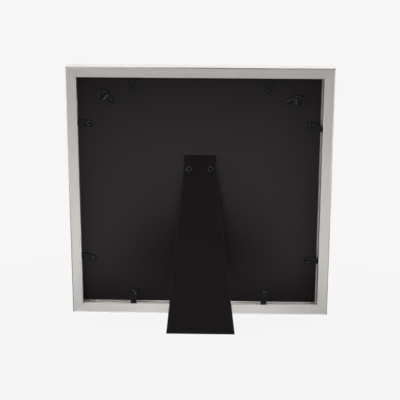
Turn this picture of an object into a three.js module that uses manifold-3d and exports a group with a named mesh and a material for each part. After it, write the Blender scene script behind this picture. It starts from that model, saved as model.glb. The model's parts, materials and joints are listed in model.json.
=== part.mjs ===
// A square collage photo frame on an easel leg: four mitred rails hold glass, a window mat, prints and a backboard,
// which eight turn buttons keep in. The frame leans back on a flared leg, and two D ring hangers serve a wall.
// Millimetres, +Z up, +X to the right from the front, +Y to the back. Origin: bottom centre of the standing frame.
import * as THREE from "three";
import { mergeVertices } from "three/addons/utils/BufferGeometryUtils.js";
import Module from "manifold-3d";

const wasm = await Module();
wasm.setup();

// Clearances
const layerGap = 0.3; // between pieces that lie on each other
const runningGap = 0.3; // round eyelets, pins and other pieces that turn
const mitreGap = 0.2; // between the faces of a mitre
const cutMargin = 1; // how far a cutter stands proud of the face it enters

// Rails
const frameSize = 305;
const railDepth = 13;
const railBackWidth = 12;
const lipReach = 5;
const lipThickness = 2.5;
const outerEdgeRadius = 1;
const sightEdgeRadius = 1.5;

// Stack in the rebate
const glassThickness = 1.5;
const matThickness = 1.2;
const printThickness = 0.3;
const boardThickness = 2.6;
const paneClearance = 0.8; // glass and mat to the rebate's wall, each side
const boardClearance = 1.8; // board to the rebate's wall, each side
const boardSideShift = 1; // the loose board lies towards +X
const boardRise = 1.2; // and was pushed up, with the buttons and hangers that it carries

// Collage windows, set like a pinwheel that fills the sight opening
const matBorder = 11.5; // from the rails' sight edge to the windows
const windowGap = 8;
const windowStretch = 50; // a window's length beyond its width
const windowBevel = 1;
const printOverlap = 3.5; // of a print behind its window, each side

// Corner nails
const nailThickness = 0.7;
const nailWing = 4;
const nailLength = 7;
const nailApex = 8; // from the outer faces of both rails
const nailSetBelow = 0.3;
const nailClearance = 0.2;

// Turn buttons
const crossButtonInset = 74.5; // top and bottom rails, from the frame's sides
const sideButtonInset = 68.5; // left and right rails, from the frame's top and bottom
const buttonSetback = 13.5; // pivot to the rebate's wall
const buttonBite = 1.2; // tip into the lower rail, where it is least
const buttonThickness = 1;
const buttonJoggle = 0.9;
const joggleStart = 5.6; // from the pivot
const joggleRun = 1.8;
const buttonEndRadius = 4.4;
const buttonTipWidth = 6.4;
const buttonTipRadius = 0.8;
const slotClearance = 0.4;
const buttonTurns = { bottom_left: -8, bottom_right: -8, right_lower: -18, left_upper: -20 }; // degrees off square

// Eyelets
const eyeletHeadHeight = 0.9;
const eyeletTailHeight = 0.6;
const eyeletTailFlare = 1; // tail flange beyond the barrel
const eyeletSetBelow = 0.2; // tail below the board's inner face
const buttonEyeletHeadRadius = 3;
const buttonEyeletBarrelRadius = 1.7;
const buttonEyeletBoreRadius = 1;
const legEyeletHeadRadius = 3.5;
const legEyeletBarrelRadius = 2;
const legEyeletBoreRadius = 1.3;

// Hangers
const hangerInset = 50.2; // eyelet from the frame's side
const hangerDrop = 41.6; // eyelet below the frame's top
const strapWidth = 8.7;
const strapStrip = 0.8; // thickness of the strip that is folded double
const strapReach = 6.2; // eyelet to the ring's bar
const ringWireRadius = 0.9;
const ringHalfWidth = 5.9;
const ringReach = 9.2;
const ringCornerRadius = 1.2;
const rightHangerAngle = 43; // degrees above level, outwards
const leftHangerAngle = 10;

// Easel
const leanAngle = 11; // degrees
const legOpening = 27; // degrees between the board and the open leg
const hingeHeight = 188.5; // pin above the frame's lower edge, along the board
const legThickness = 3;
const legTopWidth = 37;
const legFootWidth = 78;
const legParallelLength = 17;
const legFootShift = -3; // the foot stands off the middle
const legEyeletDrop = 14.7; // below the leg's top
const legEyeletSpacing = 25;
const hingeWidth = 33;
const hingeLeafLength = 18;
const hingeSheet = 0.8;
const hingePinRadius = 0.9;
const hingePinHeadHeight = 0.6;
const knuckleCount = 5;
const boardRivetDrop = 12; // below the pin
const boardRivetSpacing = 18;

// Smoothness of round stretches
const arcSegments = 5;
const roundSegments = 16;
const wireSegments = 8;
const ringSegments = 36;
const weldTolerance = 1e-4;

// Places worked out from the sizes above. Depths run along Y from the rails' back face, which is at 0.
const lean = THREE.MathUtils.degToRad(leanAngle);
const opening = THREE.MathUtils.degToRad(legOpening);
const halfFrame = frameSize / 2;
const rebateDepth = railDepth - lipThickness;
const rebateSize = frameSize - 2 * railBackWidth;
const sightSize = rebateSize - 2 * lipReach;
const windowShort = (sightSize - 2 * matBorder - windowGap - windowStretch) / 2;
const windowLong = windowShort + windowStretch;
const glassBack = -rebateDepth + layerGap + glassThickness;
const matBack = glassBack + layerGap + matThickness;
const printBack = matBack + layerGap + printThickness;
const boardBack = printBack + layerGap + boardThickness;
const boardFront = boardBack - boardThickness;
const crossButtonOffset = halfFrame - crossButtonInset; // from the middle of the rail
const sideButtonOffset = halfFrame - sideButtonInset;
const buttonReach = buttonSetback + boardRise + buttonBite;
const tipCorner = Math.hypot(buttonTipWidth / 2 - buttonTipRadius, buttonReach - buttonTipRadius);
const slotRadius = (tipCorner + buttonTipRadius + slotClearance) / Math.cos(Math.PI / roundSegments);
const buttonTipBase = layerGap + buttonJoggle;

const silver = { color: 0xb9b8b5, roughness: 0.42, metalness: 0.55 };
const blackBoard = { color: 0x26262a, roughness: 0.62, metalness: 0 };
const blackLeg = { color: 0x1b1b1d, roughness: 0.7, metalness: 0 };
const blackSteel = { color: 0x1f1f22, roughness: 0.4, metalness: 0.6 };
const brightSteel = { color: 0xa4a6a8, roughness: 0.35, metalness: 0.9 };
const clearGlass = { color: 0xdfe8e6, roughness: 0.05, metalness: 0, transparent: true, opacity: 0.2 };
const whiteCard = { color: 0xf2efe8, roughness: 0.85, metalness: 0 };
const photoPaper = { color: 0x9aa7b0, roughness: 0.35, metalness: 0 };

// A closed geometry as a solid that can be cut and joined.
function toSolid(geometry) {
  const bare = geometry.clone();
  bare.deleteAttribute("normal");
  bare.deleteAttribute("uv");
  const merged = mergeVertices(bare, weldTolerance);
  const vertProperties = merged.attributes.position.array;
  const triVerts = new Uint32Array(merged.index.array);
  return new wasm.Manifold(new wasm.Mesh({ numProp: 3, vertProperties, triVerts }));
}

function toGeometry(solid) {
  const mesh = solid.getMesh();
  const geometry = new THREE.BufferGeometry();
  geometry.setAttribute("position", new THREE.BufferAttribute(mesh.vertProperties, 3));
  geometry.setIndex(new THREE.BufferAttribute(mesh.triVerts, 1));
  geometry.computeVertexNormals();
  return geometry;
}

function piece(name, shape, look) {
  const geometry = shape.isBufferGeometry ? shape : toGeometry(shape);
  const mesh = new THREE.Mesh(geometry, new THREE.MeshStandardMaterial(look));
  mesh.name = name;
  return mesh;
}

function extrude(shape, depth) {
  return new THREE.ExtrudeGeometry(shape, { depth, bevelEnabled: false, curveSegments: arcSegments });
}

// An outline drawn in X and Z, given its thickness along Y.
function plate(outline, front, back) {
  return extrude(outline, back - front).rotateX(Math.PI / 2).translate(0, back, 0);
}

// A side view drawn in Y and Z, run along X.
function runAlongX(profile, start, end) {
  const axes = new THREE.Matrix4().makeBasis(
    new THREE.Vector3(0, 1, 0),
    new THREE.Vector3(0, 0, 1),
    new THREE.Vector3(1, 0, 0),
  );
  return extrude(profile, end - start).applyMatrix4(axes).translate(start, 0, 0);
}

function rectangle(width, height) {
  const outline = new THREE.Shape();
  outline.moveTo(-width / 2, -height / 2);
  outline.lineTo(width / 2, -height / 2);
  outline.lineTo(width / 2, height / 2);
  outline.lineTo(-width / 2, height / 2);
  outline.closePath();
  return outline;
}

// A round cutter along Y.
function drill(radius, front, back, x, z) {
  const round = new THREE.CylinderGeometry(radius, radius, back - front, roundSegments);
  return toSolid(round.translate(x, (front + back) / 2, z));
}

// The outline of a corner nail: two wings that meet on the mitre. Drawn from the frame's outer corner.
function nailOutline(margin) {
  const inner = nailApex - nailThickness / 2 - margin;
  const outer = nailApex + nailThickness / 2 + margin;
  const tip = nailApex - nailWing - margin;
  const outline = new THREE.Shape();
  outline.moveTo(tip, inner);
  outline.lineTo(inner, inner);
  outline.lineTo(inner, tip);
  outline.lineTo(outer, tip);
  outline.lineTo(outer, outer);
  outline.lineTo(tip, outer);
  outline.closePath();
  return outline;
}

// A nail, or with a margin its pocket, at the lower corner on the -X side of a frame centred on the origin.
function nailBody(margin, front, back) {
  return plate(nailOutline(margin), front, back).translate(-halfFrame, 0, -halfFrame);
}

// The rail's section: Y is depth and Z runs from the frame's outer face inwards.
function railSection() {
  const front = -railDepth;
  const sight = railBackWidth + lipReach;
  const quarter = Math.PI / 2;
  const round = outerEdgeRadius;
  const section = new THREE.Shape();
  section.moveTo(0, round);
  section.lineTo(0, railBackWidth);
  section.lineTo(-rebateDepth, railBackWidth);
  section.lineTo(-rebateDepth, sight);
  section.lineTo(front + sightEdgeRadius, sight);
  section.absarc(front + sightEdgeRadius, sight - sightEdgeRadius, sightEdgeRadius, quarter, 2 * quarter, false);
  section.lineTo(front, round);
  section.absarc(front + round, round, round, 2 * quarter, 3 * quarter, false);
  section.lineTo(-round, 0);
  section.absarc(-round, round, round, 3 * quarter, 4 * quarter, false);
  return section;
}

// The lower rail of a frame centred on the origin, with mitred ends, nail pockets and slots round the pivots.
function rail(pivots) {
  const blank = runAlongX(railSection(), -1, 1);
  const corners = blank.attributes.position;
  const mitreInset = mitreGap / Math.SQRT2;
  for (let i = 0; i < corners.count; i += 1) {
    const inward = corners.getZ(i);
    corners.setX(i, corners.getX(i) * (halfFrame - inward - mitreInset));
  }
  let solid = toSolid(blank.translate(0, 0, -halfFrame));
  const pocketFloor = -nailSetBelow - nailLength - nailClearance;
  const pocket = nailBody(nailClearance, pocketFloor, cutMargin);
  const farPocket = pocket.clone().rotateY(-Math.PI / 2);
  solid = solid.subtract(toSolid(pocket)).subtract(toSolid(farPocket));
  const slotFront = boardBack + buttonTipBase - slotClearance;
  const slotBack = boardBack + buttonTipBase + buttonThickness + slotClearance;
  for (const { x, z } of pivots) {
    solid = solid.subtract(drill(slotRadius, slotFront, slotBack, x, z));
  }
  return solid;
}

// A hollow eyelet along Y, with a rolled head at the back and a flared tail.
function eyelet(tailEnd, headBase, headRadius, barrelRadius, boreRadius) {
  const headTop = headBase + eyeletHeadHeight;
  const roll = (headRadius - boreRadius) / 3;
  const rollDrop = eyeletHeadHeight / 2;
  const tailRadius = barrelRadius + eyeletTailFlare;
  const tailTop = tailEnd + eyeletTailHeight;
  const profile = [
    [boreRadius, tailEnd],
    [tailRadius, tailEnd],
    [tailRadius, tailTop],
    [barrelRadius, tailTop],
    [barrelRadius, headBase],
    [headRadius, headBase],
    [headRadius, headTop - rollDrop],
    [headRadius - roll, headTop],
    [boreRadius + roll, headTop],
    [boreRadius, headTop - rollDrop],
    [boreRadius, tailEnd],
  ].map(([radius, height]) => new THREE.Vector2(radius, height));
  return new THREE.LatheGeometry(profile, roundSegments);
}

// The stepped hole in the board that takes an eyelet's barrel and tail.
function boardHole(barrelRadius, x, z) {
  const tailRadius = barrelRadius + eyeletTailFlare;
  const stepTop = boardFront + eyeletSetBelow + eyeletTailHeight + runningGap;
  const through = drill(barrelRadius + runningGap, boardFront - cutMargin, boardBack + cutMargin, x, z);
  const step = drill(tailRadius + runningGap, boardFront - cutMargin, stepTop, x, z);
  return through.add(step);
}

// A turn button with its pivot at the origin, on the board, and its tip towards -Z.
function turnButton() {
  const half = buttonTipWidth / 2;
  const flank = Math.asin((buttonEndRadius - half) / buttonReach);
  const outline = new THREE.Shape();
  outline.absarc(0, 0, buttonEndRadius, -flank, Math.PI + flank, false);
  outline.lineTo(-half, -buttonReach + buttonTipRadius);
  outline.absarc(-half + buttonTipRadius, -buttonReach + buttonTipRadius, buttonTipRadius, Math.PI, 1.5 * Math.PI);
  outline.absarc(half - buttonTipRadius, -buttonReach + buttonTipRadius, buttonTipRadius, 1.5 * Math.PI, 2 * Math.PI);
  const base = layerGap;
  const raised = layerGap + buttonJoggle;
  const joggleEnd = joggleStart + joggleRun;
  const farEnd = buttonReach + cutMargin;
  const nearEnd = buttonEndRadius + cutMargin;
  const strip = new THREE.Shape();
  strip.moveTo(base, nearEnd);
  strip.lineTo(base, -joggleStart);
  strip.lineTo(raised, -joggleEnd);
  strip.lineTo(raised, -farEnd);
  strip.lineTo(raised + buttonThickness, -farEnd);
  strip.lineTo(raised + buttonThickness, -joggleEnd);
  strip.lineTo(base + buttonThickness, -joggleStart);
  strip.lineTo(base + buttonThickness, nearEnd);
  strip.closePath();
  const blank = toSolid(plate(outline, 0, raised + buttonThickness + cutMargin));
  const bent = toSolid(runAlongX(strip, -buttonEndRadius - cutMargin, buttonEndRadius + cutMargin));
  const hole = drill(buttonEyeletBarrelRadius + runningGap, 0, raised + buttonThickness + cutMargin, 0, 0);
  return blank.intersect(bent).subtract(hole);
}

const strapKnuckleRadius = ringWireRadius + runningGap + strapStrip;
const strapThickness = 2 * strapStrip;
const ringHeight = layerGap + strapKnuckleRadius; // bar above the board

// A strap folded round the ring's bar, with its eyelet at the origin and the ring towards +X.
function hangerStrap() {
  const half = strapWidth / 2;
  const shoulder = Math.asin((strapKnuckleRadius - strapThickness) / strapKnuckleRadius);
  const side = new THREE.Shape();
  side.moveTo(-half - cutMargin, 0);
  side.lineTo(strapReach, 0);
  side.absarc(strapReach, strapKnuckleRadius, strapKnuckleRadius, -Math.PI / 2, Math.PI + shoulder, false);
  side.lineTo(-half - cutMargin, strapThickness);
  side.closePath();
  const eye = new THREE.Path();
  eye.absarc(strapReach, strapKnuckleRadius, ringWireRadius + runningGap, 0, 2 * Math.PI, false);
  side.holes.push(eye);
  const outline = new THREE.Shape();
  const farEnd = strapReach + strapKnuckleRadius + cutMargin;
  outline.absarc(0, 0, half, Math.PI / 2, 1.5 * Math.PI, false);
  outline.lineTo(farEnd, -half);
  outline.lineTo(farEnd, half);
  outline.closePath();
  const folded = toSolid(extrude(side, strapWidth).translate(0, layerGap, -half));
  const cutOut = toSolid(plate(outline, 0, layerGap + 2 * strapKnuckleRadius + cutMargin));
  const hole = drill(buttonEyeletBarrelRadius + runningGap, 0, layerGap + strapThickness + cutMargin, 0, 0);
  return folded.intersect(cutOut).subtract(hole);
}

// A D of round wire. Its bar lies along Z at the origin, and its bow reaches towards +X.
function hangerRing() {
  const straight = ringHalfWidth - ringCornerRadius;
  const bow = ringReach - ringCornerRadius;
  const route = new THREE.Path();
  route.moveTo(0, -straight);
  route.lineTo(0, straight);
  route.absarc(ringCornerRadius, straight, ringCornerRadius, Math.PI, Math.PI / 2, true);
  route.absellipse(ringCornerRadius, 0, bow, ringHalfWidth, Math.PI / 2, -Math.PI / 2, true);
  route.absarc(ringCornerRadius, -straight, ringCornerRadius, -Math.PI / 2, -Math.PI, true);
  const spaced = route.getSpacedPoints(ringSegments).slice(0, ringSegments);
  const loop = new THREE.CatmullRomCurve3(
    spaced.map((point) => new THREE.Vector3(point.x, 0, point.y)),
    true,
  );
  return new THREE.TubeGeometry(loop, ringSegments, ringWireRadius, wireSegments, true);
}

const knuckleRadius = hingePinRadius + runningGap + hingeSheet;
const pinHeight = layerGap + knuckleRadius; // above the board
const legInner = knuckleRadius + layerGap; // leg's inner face from the pin
const legOuter = legInner + legThickness;
const legTop = (pinHeight - layerGap + legInner * Math.cos(opening)) / Math.sin(opening);
const pinAboveFloor = hingeHeight * Math.cos(lean) - (boardBack + pinHeight) * Math.sin(lean);

// How far below the pin the open leg meets the floor, along the leg, at a distance from the pin's plane.
function legLengthAt(distance) {
  const splay = opening - lean;
  return (pinAboveFloor + distance * Math.sin(splay)) / Math.cos(splay);
}

// The leg hangs from a pin at the origin. Its top is the heel that stops it, and its foot is cut to lie on the floor.
function easelLeg() {
  const foot = legLengthAt(legOuter);
  const flareTop = legTop - legParallelLength;
  const outline = new THREE.Shape();
  outline.moveTo(-legTopWidth / 2, legTop);
  outline.lineTo(-legTopWidth / 2, flareTop);
  outline.lineTo(legFootShift - legFootWidth / 2, -foot);
  outline.lineTo(legFootShift + legFootWidth / 2, -foot);
  outline.lineTo(legTopWidth / 2, flareTop);
  outline.lineTo(legTopWidth / 2, legTop);
  outline.closePath();
  const side = new THREE.Shape();
  side.moveTo(legInner, legTop + cutMargin);
  side.lineTo(legInner, -legLengthAt(legInner));
  side.lineTo(legOuter, -foot);
  side.lineTo(legOuter, legTop + cutMargin);
  side.closePath();
  const blank = toSolid(plate(outline, legInner - cutMargin, legOuter + cutMargin));
  const bevelled = toSolid(runAlongX(side, -legFootWidth, legFootWidth));
  let solid = blank.intersect(bevelled);
  for (const x of [-legEyeletSpacing / 2, legEyeletSpacing / 2]) {
    const hole = drill(legEyeletBarrelRadius + runningGap, 0, legOuter + cutMargin, x, legTop - legEyeletDrop);
    solid = solid.subtract(hole);
  }
  return solid;
}

// A hinge leaf that hangs below its knuckles, with the sheet on the +Y side of the pin. Its own knuckles are the
// ones whose number is odd or even, and holes are given as a radius and a place.
function hingeLeaf(firstKnuckle, holes) {
  const sheetFront = knuckleRadius - hingeSheet;
  const knuckleLength = (hingeWidth + runningGap) / knuckleCount - runningGap;
  const sheetTop = -knuckleRadius - runningGap;
  const curl = new THREE.Shape();
  curl.absarc(0, 0, knuckleRadius, 0, 2 * Math.PI, false);
  const bore = new THREE.Path();
  bore.absarc(0, 0, hingePinRadius + runningGap, 0, 2 * Math.PI, false);
  curl.holes.push(bore);
  const tangent = new THREE.Shape();
  tangent.moveTo(sheetFront, 0);
  tangent.lineTo(sheetFront, sheetTop - cutMargin);
  tangent.lineTo(knuckleRadius, sheetTop - cutMargin);
  tangent.lineTo(knuckleRadius, 0);
  tangent.closePath();
  const sheet = rectangle(hingeWidth, hingeLeafLength + sheetTop);
  const sheetMiddle = (sheetTop - hingeLeafLength) / 2;
  let solid = toSolid(plate(sheet, sheetFront, knuckleRadius).translate(0, 0, sheetMiddle));
  for (let number = firstKnuckle; number < knuckleCount; number += 2) {
    const start = -hingeWidth / 2 + number * (knuckleLength + runningGap);
    const end = start + knuckleLength;
    solid = solid.add(toSolid(runAlongX(curl, start, end))).add(toSolid(runAlongX(tangent, start, end)));
  }
  for (const { radius, x, z } of holes) {
    solid = solid.subtract(drill(radius, 0, knuckleRadius + cutMargin, x, z));
  }
  return solid;
}

// A pin along X with peened ends.
function hingePin() {
  const half = hingeWidth / 2;
  const headStart = half + runningGap;
  const headEnd = headStart + hingePinHeadHeight;
  const headRadius = hingePinRadius + runningGap + hingeSheet / 2;
  const profile = [
    [0, -headEnd],
    [hingePinRadius, -headEnd],
    [headRadius, -headStart],
    [hingePinRadius, -headStart],
    [hingePinRadius, headStart],
    [headRadius, headStart],
    [hingePinRadius, headEnd],
    [0, headEnd],
  ].map(([radius, along]) => new THREE.Vector2(radius, along));
  return new THREE.LatheGeometry(profile, roundSegments).rotateZ(-Math.PI / 2);
}

// The centres of the four windows, seen from the front, and which of them stand upright.
function pinwheel() {
  const pattern = windowShort + windowGap + windowLong;
  const nearShort = (pattern - windowShort) / 2;
  const nearLong = (pattern - windowLong) / 2;
  return [
    { place: "top_left", x: -nearShort, z: nearLong, upright: true },
    { place: "top_right", x: nearLong, z: nearShort, upright: false },
    { place: "bottom_right", x: nearShort, z: -nearLong, upright: true },
    { place: "bottom_left", x: -nearLong, z: -nearShort, upright: false },
  ];
}

// A window's cutter: the card is cut at a slant, so the opening widens towards the front.
function windowCutter(width, height, back) {
  const depth = matThickness + 2 * cutMargin;
  const slope = windowBevel / matThickness;
  const spread = slope * depth;
  const narrowing = 2 * slope * cutMargin;
  const block = new THREE.BoxGeometry(width - narrowing, depth, height - narrowing);
  const corners = block.attributes.position;
  for (let i = 0; i < corners.count; i += 1) {
    if (corners.getY(i) < 0) {
      corners.setX(i, corners.getX(i) + Math.sign(corners.getX(i)) * spread);
      corners.setZ(i, corners.getZ(i) + Math.sign(corners.getZ(i)) * spread);
    }
  }
  return block.translate(0, back + cutMargin - depth / 2, 0);
}

function windowMat() {
  const size = rebateSize - 2 * paneClearance;
  let solid = toSolid(plate(rectangle(size, size), matBack - matThickness, matBack));
  for (const { x, z, upright } of pinwheel()) {
    const width = upright ? windowShort : windowLong;
    const height = upright ? windowLong : windowShort;
    solid = solid.subtract(toSolid(windowCutter(width, height, matBack).translate(x, 0, z)));
  }
  return solid;
}

function print(upright) {
  const short = windowShort + 2 * printOverlap;
  const long = windowLong + 2 * printOverlap;
  const outline = upright ? rectangle(short, long) : rectangle(long, short);
  return plate(outline, printBack - printThickness, printBack);
}

// The sides of the frame as the lower one turned about the middle. A place is the button's side of the middle.
const sides = [
  { side: "bottom", turn: 0, buttonOffset: crossButtonOffset, places: { left: -1, right: 1 } },
  { side: "left", turn: Math.PI / 2, buttonOffset: sideButtonOffset, places: { lower: 1, upper: -1 } },
  { side: "top", turn: Math.PI, buttonOffset: crossButtonOffset, places: { left: 1, right: -1 } },
  { side: "right", turn: -Math.PI / 2, buttonOffset: sideButtonOffset, places: { lower: -1, upper: 1 } },
];
const nailPlaces = { bottom: "bottom_left", left: "top_left", top: "top_right", right: "bottom_right" };
const hangerOffset = halfFrame - hangerInset;
const hangers = [
  { place: "left", x: -hangerOffset, turn: THREE.MathUtils.degToRad(leftHangerAngle - 180) },
  { place: "right", x: hangerOffset, turn: THREE.MathUtils.degToRad(-rightHangerAngle) },
];
const hangerHeight = halfFrame - hangerDrop + boardRise;
const hingeLevel = hingeHeight - halfFrame;
const boardRivetLevel = hingeLevel - boardRivetDrop;
const depthAxis = new THREE.Vector3(0, 1, 0);
const boardRivetPlaces = { left: -boardRivetSpacing / 2, right: boardRivetSpacing / 2 };
const legEyeletPlaces = { left: -legEyeletSpacing / 2, right: legEyeletSpacing / 2 };

// A button's pivot. The board carries it, so it is as far off the middle of the frame as the board is.
function buttonPivot({ turn, buttonOffset }, sign) {
  const square = new THREE.Vector3(sign * buttonOffset, 0, railBackWidth + buttonSetback - halfFrame);
  const pivot = square.applyAxisAngle(depthAxis, turn);
  return pivot.setZ(pivot.z + boardRise);
}

function backboard() {
  const size = rebateSize - 2 * boardClearance;
  const blank = plate(rectangle(size, size), boardFront, boardBack).translate(boardSideShift, 0, boardRise);
  let solid = toSolid(blank);
  for (const side of sides) {
    for (const sign of Object.values(side.places)) {
      const pivot = buttonPivot(side, sign);
      solid = solid.subtract(boardHole(buttonEyeletBarrelRadius, pivot.x, pivot.z));
    }
  }
  for (const { x } of hangers) {
    solid = solid.subtract(boardHole(buttonEyeletBarrelRadius, x, hangerHeight));
  }
  for (const x of Object.values(boardRivetPlaces)) {
    solid = solid.subtract(boardHole(buttonEyeletBarrelRadius, x, boardRivetLevel));
  }
  return solid;
}

// A small eyelet through the board, whose surface is at 0, and what lies on it to the given height.
function boardEyelet(stack) {
  const tailEnd = eyeletSetBelow - boardThickness;
  const headBase = stack + layerGap;
  return eyelet(tailEnd, headBase, buttonEyeletHeadRadius, buttonEyeletBarrelRadius, buttonEyeletBoreRadius);
}

// The frame, upright and centred on X and Z, with the rails' back faces at Y 0.
const upright = new THREE.Group();
upright.position.z = halfFrame;

for (const frameSide of sides) {
  const { side, turn, places } = frameSide;
  const group = new THREE.Group();
  group.rotation.y = turn;
  upright.add(group);
  const squarePivot = (sign) => buttonPivot(frameSide, sign).applyAxisAngle(depthAxis, -turn);
  group.add(piece(`${side}_rail`, rail(Object.values(places).map(squarePivot)), silver));
  const nail = nailBody(0, -nailSetBelow - nailLength, -nailSetBelow);
  group.add(piece(`corner_nail_${nailPlaces[side]}`, nail, brightSteel));
  for (const [place, sign] of Object.entries(places)) {
    const pivot = new THREE.Group();
    pivot.name = `turn_button_${side}_${place}_pivot`;
    pivot.position.copy(squarePivot(sign)).setY(boardBack);
    group.add(pivot);
    const button = piece(`turn_button_${side}_${place}`, turnButton(), blackSteel);
    button.rotation.y = THREE.MathUtils.degToRad(buttonTurns[`${side}_${place}`] ?? 0);
    pivot.add(button);
    const stack = layerGap + buttonThickness;
    pivot.add(piece(`button_eyelet_${side}_${place}`, boardEyelet(stack), blackSteel));
  }
}

const paneSize = rebateSize - 2 * paneClearance;
const pane = plate(rectangle(paneSize, paneSize), glassBack - glassThickness, glassBack);
upright.add(piece("glass_pane", pane, clearGlass));
upright.add(piece("window_mat", windowMat(), whiteCard));
for (const { place, x, z, upright: standing } of pinwheel()) {
  upright.add(piece(`photo_print_${place}`, print(standing).translate(x, 0, z), photoPaper));
}
upright.add(piece("backboard", backboard(), blackBoard));

for (const { place, x, turn } of hangers) {
  const hanger = new THREE.Group();
  hanger.name = `hanger_${place}_pivot`;
  hanger.position.set(x, boardBack, hangerHeight);
  hanger.rotation.y = turn;
  upright.add(hanger);
  hanger.add(piece(`hanger_strap_${place}`, hangerStrap(), blackSteel));
  hanger.add(piece(`hanger_eyelet_${place}`, boardEyelet(layerGap + strapThickness), blackSteel));
  const bar = new THREE.Group();
  bar.name = `hanger_ring_${place}_bar`;
  bar.position.set(strapReach, ringHeight, 0);
  hanger.add(bar);
  bar.add(piece(`hanger_ring_${place}`, hangerRing(), blackSteel));
}

// The easel: the board's leaf faces the board, and the leg's leaf and the leg turn out by the opening.
const hinge = new THREE.Group();
hinge.name = "hinge_axis";
hinge.position.set(0, boardBack + pinHeight, hingeLevel);
upright.add(hinge);
const boardLeafHoles = Object.values(boardRivetPlaces).map((x) => ({
  radius: buttonEyeletBarrelRadius + runningGap,
  x,
  z: -boardRivetDrop,
}));
const boardLeaf = piece("hinge_board_leaf", hingeLeaf(0, boardLeafHoles).mirror([0, 1, 0]), blackSteel);
hinge.add(boardLeaf);
hinge.add(piece("hinge_pin", hingePin(), blackSteel));
for (const [place, x] of Object.entries(boardRivetPlaces)) {
  const rivet = piece(`board_leaf_rivet_${place}`, boardEyelet(layerGap + hingeSheet), blackSteel);
  rivet.position.set(x, boardBack, boardRivetLevel);
  upright.add(rivet);
}

const swing = new THREE.Group();
swing.rotation.x = opening;
hinge.add(swing);
const legEyeletLevel = legTop - legEyeletDrop;
const legLeafHoles = Object.values(legEyeletPlaces).map((x) => ({
  radius: legEyeletBarrelRadius + runningGap,
  x,
  z: legEyeletLevel,
}));
swing.add(piece("easel_leg", easelLeg(), blackLeg));
swing.add(piece("hinge_leg_leaf", hingeLeaf(1, legLeafHoles), blackSteel));
const legEyeletTail = knuckleRadius - hingeSheet - layerGap - eyeletTailHeight;
for (const [place, x] of Object.entries(legEyeletPlaces)) {
  const headBase = legOuter + layerGap;
  const body = eyelet(legEyeletTail, headBase, legEyeletHeadRadius, legEyeletBarrelRadius, legEyeletBoreRadius);
  const rivet = piece(`leg_eyelet_${place}`, body, blackSteel);
  rivet.position.set(x, 0, legEyeletLevel);
  swing.add(rivet);
}

// The frame leans back about the rear edge of its lower rail, which stands on the floor with the leg's foot.
const leaning = new THREE.Group();
leaning.rotation.x = -lean;
leaning.add(upright);
const photoFrame = new THREE.Group();
photoFrame.add(leaning);
const extent = new THREE.Box3().setFromObject(photoFrame, true);
leaning.position.set(0, -(extent.min.y + extent.max.y) / 2, -extent.min.z);

export default photoFrame;
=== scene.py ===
import json
import math

import bmesh
import bpy
from mathutils import Matrix, Vector


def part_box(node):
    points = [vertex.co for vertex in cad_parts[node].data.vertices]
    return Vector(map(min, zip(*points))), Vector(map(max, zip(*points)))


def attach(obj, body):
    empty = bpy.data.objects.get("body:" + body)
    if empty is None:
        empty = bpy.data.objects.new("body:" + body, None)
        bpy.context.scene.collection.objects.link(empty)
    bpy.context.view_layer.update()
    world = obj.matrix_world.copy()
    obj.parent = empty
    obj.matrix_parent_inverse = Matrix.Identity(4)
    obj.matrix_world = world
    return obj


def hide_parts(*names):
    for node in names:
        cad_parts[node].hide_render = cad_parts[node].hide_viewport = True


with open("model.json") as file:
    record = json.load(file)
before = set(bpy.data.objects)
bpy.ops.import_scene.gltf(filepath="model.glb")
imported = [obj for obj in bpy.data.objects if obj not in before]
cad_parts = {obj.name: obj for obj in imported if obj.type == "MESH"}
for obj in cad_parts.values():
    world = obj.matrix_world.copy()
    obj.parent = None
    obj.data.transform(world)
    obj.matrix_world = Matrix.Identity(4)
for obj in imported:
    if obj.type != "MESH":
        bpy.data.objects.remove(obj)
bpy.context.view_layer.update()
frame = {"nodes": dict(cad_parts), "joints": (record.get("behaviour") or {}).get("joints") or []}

# Rails: four lengths of fibreboard moulding wrapped in satin silver foil, cut to a mitre, glued and nailed.
# Each has a rebate behind its lip for the stack and a slot for each turn button. The foil's grain runs along
# the rail, and it is rubbed bright on the edges.
scene = bpy.context.scene
nodes = frame["nodes"]
joints = {joint["name"]: joint for joint in frame["joints"]}
across = Vector((1, 0, 0))
outward = Vector(joints["button_turn_top_left"]["axis"])
upward = across.cross(outward)
lean = math.atan2(-outward.z, outward.y)
rail_edge = 0.0003  # a radius, in metres as every size here
edge_segments = 2
flat_weight = 100
sharp_edge = math.radians(40)
same_course = 0.99
same_point = 1e-6
same_plane = math.radians(0.5)
foil_dark = (0.53, 0.507, 0.488, 1)
foil_light = (0.575, 0.552, 0.532, 1)
foil_rubbed = (0.63, 0.607, 0.587, 1)
foil_metal = 0.25
foil_roughness = 0.45
rubbed_roughness = 0.36
foil_roughness_swing = 0.06
foil_relief = 0.08
foil_detail = 5
grain_along = 25
grain_across = 1400
relief_depth = 0.0002
noise_low = 0.3
noise_high = 0.7


def add(material, kind, **settings):
    """A new node in a material."""
    node = material.node_tree.nodes.new(kind)
    for name, value in settings.items():
        setattr(node, name, value)
    return node


def join(material, output, socket):
    """A link between two nodes of a material."""
    material.node_tree.links.new(output, socket)


def new_finish(name, roughness, metallic=0.0, specular=0.5):
    """A material with one principled shader, and that shader."""
    material = bpy.data.materials.new(name)
    material.use_nodes = True
    shader = material.node_tree.nodes["Principled BSDF"]
    shader.inputs["Roughness"].default_value = roughness
    shader.inputs["Metallic"].default_value = metallic
    shader.inputs["Specular IOR Level"].default_value = specular
    return material, shader


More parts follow.
